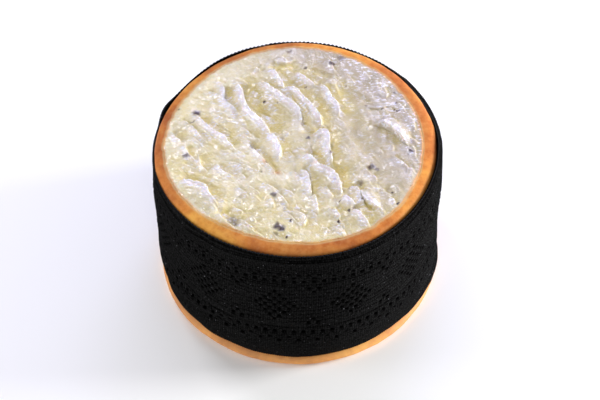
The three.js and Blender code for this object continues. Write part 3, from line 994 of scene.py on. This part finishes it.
def makeLace():
    rows, marks = bandRows()
    perTurn = band["repeats"] * band["columns"]
    columns = int(round(perTurn * (360 + band["lap"]) / 360 / 2) * 2)
    step = 360 / perTurn
    firstPhase = int(round((band["start"] - 80) / step))  # a diamond stands at 80 degrees
    cut, offsets = cutHoles(columns, firstPhase, rows, marks)
    turned = np.arange(columns + 1) * step
    outerPoints = np.zeros((columns + 1, len(rows), 3))
    innerPoints = np.zeros((columns + 1, len(rows), 3))
    ribs = band["rib"] * (np.arange(columns + 1) % 2)
    rounded = np.zeros((columns + 1, len(rows)))
    for place in offsets:
        rounded[place] = 1
    for r in range(len(rows)):
        columnAt = np.arange(columns + 1, dtype=float)
        rowShift = np.zeros(columns + 1)
        for c in range(columns + 1):
            if (c, r) in offsets:
                place, up, bottom, top = offsets[c, r]
                columnAt[c] = place
                middle, half = (rows[bottom] + rows[top]) / 2, (rows[top] - rows[bottom]) / 2
                rowShift[c] = middle + up * half - rows[r]
        degrees = band["start"] + columnAt * step
        outer, inner, z = bandShape(degrees, columnAt * step, r, rows, marks)
        groove = 0.35 if r in (marks["upperGroove"], marks["lowerGroove"]) else 0.0
        outer = outer + ribs * (1 - rounded[:, r]) + 0.12 * rounded[:, r] - groove
        angle = np.radians(degrees)
        for target, radius in ((outerPoints, outer), (innerPoints, inner)):
            around = radius * roundness(angle, z)
            target[:, r, 0] = around * np.cos(angle) + byHeight("lean", z)
            target[:, r, 1] = around * np.sin(angle)
            target[:, r, 2] = z + rowShift
    rowCount = len(rows)
    front = np.arange((columns + 1) * rowCount).reshape(columns + 1, rowCount)
    back = np.full((columns + 1, rowCount), -1)
    back[::2] = front.size + np.arange((columns // 2 + 1) * rowCount).reshape(-1, rowCount)
    faces = laceFaces(cut, front, back)
    points = np.vstack([outerPoints.reshape(-1, 3), innerPoints[::2].reshape(-1, 3)])
    # painted shade: black on the inner side, along the crease under the hem and the two grooves, round the
    # eyelets, and on the hem at the right
    laceShade = np.zeros(len(points))
    laceShade[front.size:] = 1
    crease = [marks["hem"] + 4, marks["upperGroove"], marks["lowerGroove"]]
    for row, dark in zip(crease, (1, 0.6, 0.6)):
        laceShade[front[:, row]] = dark
    for c, r in offsets:
        laceShade[front[c, r]] = 0.65
    hem = 0.45 * bumpAt(band["start"] + turned, -35, 32)
    for row in range(crease[0] + 1, rowCount):
        laceShade[front[:, row]] = hem
    piece = makePiece("lace_band_cloth", points, faces, laceThread(), {"laceShade": laceShade})
    mesh = piece.data
    runOut = np.repeat(turned, rowCount) / 360 * 2 * np.pi * band["middleRadius"] * mm
    upOut = np.tile(rows, columns + 1) * mm
    runIn = np.repeat(turned[::2], rowCount) / 360 * 2 * np.pi * band["middleRadius"] * mm
    upIn = np.tile(rows, columns // 2 + 1) * mm
    run, up = np.concatenate([runOut, runIn]), np.concatenate([upOut, upIn])
    loops = np.zeros(len(mesh.loops), int)
    mesh.loops.foreach_get("vertex_index", loops)
    layer = mesh.uv_layers.new(name="strip")
    layer.data.foreach_set("uv", np.column_stack([run[loops], up[loops]]).ravel())
    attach(piece, "root")
    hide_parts("lace_band")
    print("lace triangles", sum(len(p.vertices) - 2 for p in mesh.polygons))
    topEdge = (outerPoints[:, -1] + innerPoints[:, -1]) / 2
    lapEnd = outerPoints[-1, :marks["hem"]]
    return piece, topEdge, lapEnd


# Black cotton lace, machine made: matt twisted thread, with lint that greys where light grazes it
def laceThread():
    material, tree, _ = newMaterial("blackCottonLace")
    strip = addNode(tree, "ShaderNodeUVMap", uv_map="strip")
    parts = addNode(tree, "ShaderNodeSeparateXYZ", {"Vector": strip}).outputs
    # ribs 0.81 mm apart along the band, as in its mesh, and courses of stitches 0.97 mm apart up it
    lifts = []
    for part, pitch, low in (("X", 0.00080995, 0.35), ("Y", 0.000972, 0.0)):
        wave = addNode(tree, "ShaderNodeMath", {0: parts[part], 1: math.pi / pitch}, operation="MULTIPLY")
        sine = addNode(tree, "ShaderNodeMath", {0: wave}, operation="SINE")
        height = addNode(tree, "ShaderNodeMath", {0: sine}, operation="ABSOLUTE")
        lifts.append(addNode(tree, "ShaderNodeMapRange", {"Value": height, "From Max": 0.7, "To Min": low}))
    # the courses draw in here and there, in runs about 12 mm long
    runs = addNode(tree, "ShaderNodeVectorMath", {0: strip, 1: (80.0, 700.0, 1.0)}, operation="MULTIPLY")
    drawn = addNode(tree, "ShaderNodeTexNoise", {"Vector": runs, "Scale": 1.0, "Detail": 2.0})
    loose = addNode(tree, "ShaderNodeMapRange", {"Value": drawn, "From Min": 0.45, "From Max": 0.6})
    course = addNode(tree, "ShaderNodeMath", {0: lifts[1], 1: loose}, operation="MAXIMUM")
    lint = addNode(tree, "ShaderNodeTexNoise", {
        "Vector": strip, "Scale": 1300.0, "Detail": 4.0, "Roughness": 0.7})
    fuzz = addNode(tree, "ShaderNodeMapRange", {"Value": lint, "From Min": 0.38, "From Max": 0.68})
    knit = addNode(tree, "ShaderNodeMath", {0: lifts[0], 1: course}, operation="MULTIPLY")
    height = addNode(tree, "ShaderNodeMath", {0: knit, 1: fuzz}, operation="MULTIPLY")
    bump = addNode(tree, "ShaderNodeBump", {"Strength": 0.9, "Distance": 0.0004, "Height": height})
    # painted shade and light: the colour follows the relief, near black in the grooves between ribs and
    # courses and grey on the raised thread and lint
    colour = addNode(tree, "ShaderNodeValToRGB", {"Fac": height}, [(0.12, "#020202"), (0.85, "#282828")])
    # specks of pale lint, one here and there
    specks = addNode(tree, "ShaderNodeTexNoise", {"Vector": strip, "Scale": 1500.0, "Detail": 1.0})
    rare = addNode(tree, "ShaderNodeMapRange", {"Value": specks, "From Min": 0.735, "From Max": 0.79})
    # painted shade: the thread is mixed to black where laceShade is set
    laceShade = addNode(tree, "ShaderNodeAttribute", attribute_name="laceShade").outputs["Fac"]
    for share, over in ((rare, "#85858a"), (laceShade, "#000000")):
        colour = addNode(tree, "ShaderNodeMix", {0: share, 6: colour, 7: over}, data_type="RGBA")
    shader = addNode(tree, "ShaderNodeBsdfPrincipled", {
        "Base Color": colour, "Roughness": 0.8, "Specular IOR Level": 0.01, "Sheen Weight": 0.018,
        "Sheen Roughness": 0.35, "Normal": bump})
    addNode(tree, "ShaderNodeOutputMaterial", {"Surface": shader})
    return material


# Loose black thread of the loops and stitches, twisted about 0.5 mm to a turn
def twistedThread():
    material, tree, place = newMaterial("blackCottonThread")
    twist = addNode(tree, "ShaderNodeTexNoise", {"Vector": place, "Scale": 2000.0, "Detail": 2.0})
    bump = addNode(tree, "ShaderNodeBump", {"Strength": 0.6, "Distance": 0.0001, "Height": twist})
    black = addNode(tree, "ShaderNodeValToRGB", {"Fac": twist}, [(0.0, "#0a0a0b"), (1.0, "#29292c")])
    shader = addNode(tree, "ShaderNodeBsdfPrincipled", {
        "Base Color": black, "Roughness": 0.8, "Specular IOR Level": 0.15, "Normal": bump})
    addNode(tree, "ShaderNodeOutputMaterial", {"Surface": shader})
    return material


# Half loops of thread along a path: their feet along the run of the band, their backs towards +Z or outwards
def loopTree(name, outward, material):
    tree, given = newNodeTree(name, [(label, "NodeSocketFloat") for label in ("Spacing", "Size", "Thread")])
    path = addNode(tree, "GeometryNodeMeshToCurve", {"Mesh": given["Geometry"]})
    even = addNode(tree, "GeometryNodeResampleCurve", {
        "Curve": path, "Length": given["Spacing"]}, mode="LENGTH")
    arc = addNode(tree, "GeometryNodeCurveArc", mode="RADIUS", inputs={
        "Resolution": 7, "Radius": given["Size"], "Start Angle": -0.25, "Sweep Angle": math.pi + 0.5})
    section = addNode(tree, "GeometryNodeCurvePrimitiveCircle", {"Resolution": 5, "Radius": given["Thread"]},
                      mode="RADIUS")
    loop = addNode(tree, "GeometryNodeCurveToMesh", {
        "Curve": arc, "Profile Curve": section, "Fill Caps": True})
    # the run of the band is square to the line from the axis
    axis = (wheel["axis"][0] * mm, wheel["axis"][1] * mm, 0)
    position = addNode(tree, "GeometryNodeInputPosition")
    fromAxis = addNode(tree, "ShaderNodeVectorMath", {0: position, 1: axis}, operation="SUBTRACT")
    flat = addNode(tree, "ShaderNodeVectorMath", {0: fromAxis, 1: (1, 1, 0)}, operation="MULTIPLY")
    run = addNode(tree, "ShaderNodeVectorMath", {0: (0, 0, 1), 1: flat}, operation="CROSS_PRODUCT")
    along = addNode(tree, "FunctionNodeAlignRotationToVector", {"Vector": run}, axis="X")
    back = flat if outward else (0.0, 0.0, 1.0)
    faced = addNode(tree, "FunctionNodeAlignRotationToVector", {"Rotation": along, "Vector": back}, axis="Y",
                    pivot_axis="X")
    placed = addNode(tree, "GeometryNodeInstanceOnPoints", {
        "Points": even, "Instance": loop, "Rotation": faced})
    endTree(tree, placed, material)
    return tree


def makeLoops(name, points, sizes, outward, material):
    steps = np.arange(len(points) - 1)
    path = makePiece(name + "_path", points, [], material)
    path.data.edges.add(len(steps))
    path.data.edges.foreach_set("vertices", np.column_stack([steps, steps + 1]).ravel())
    values = dict(zip(("Spacing", "Size", "Thread"), sizes))
    piece = grow(path, loopTree(name + "Loops", outward, material), values, name)
    bpy.data.objects.remove(path)
    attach(piece, "root")
    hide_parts("lace_band")
    return piece


laceBand, topEdge, lapEnd = makeLace()
thread = twistedThread()
picots = makeLoops("picot_edge", topEdge[6:-6], band["picots"], False, thread)
stitches = makeLoops("lap_stitches", lapEnd[4:], band["stitches"], True, thread)
print("the lace is wound, with its loops and stitches")
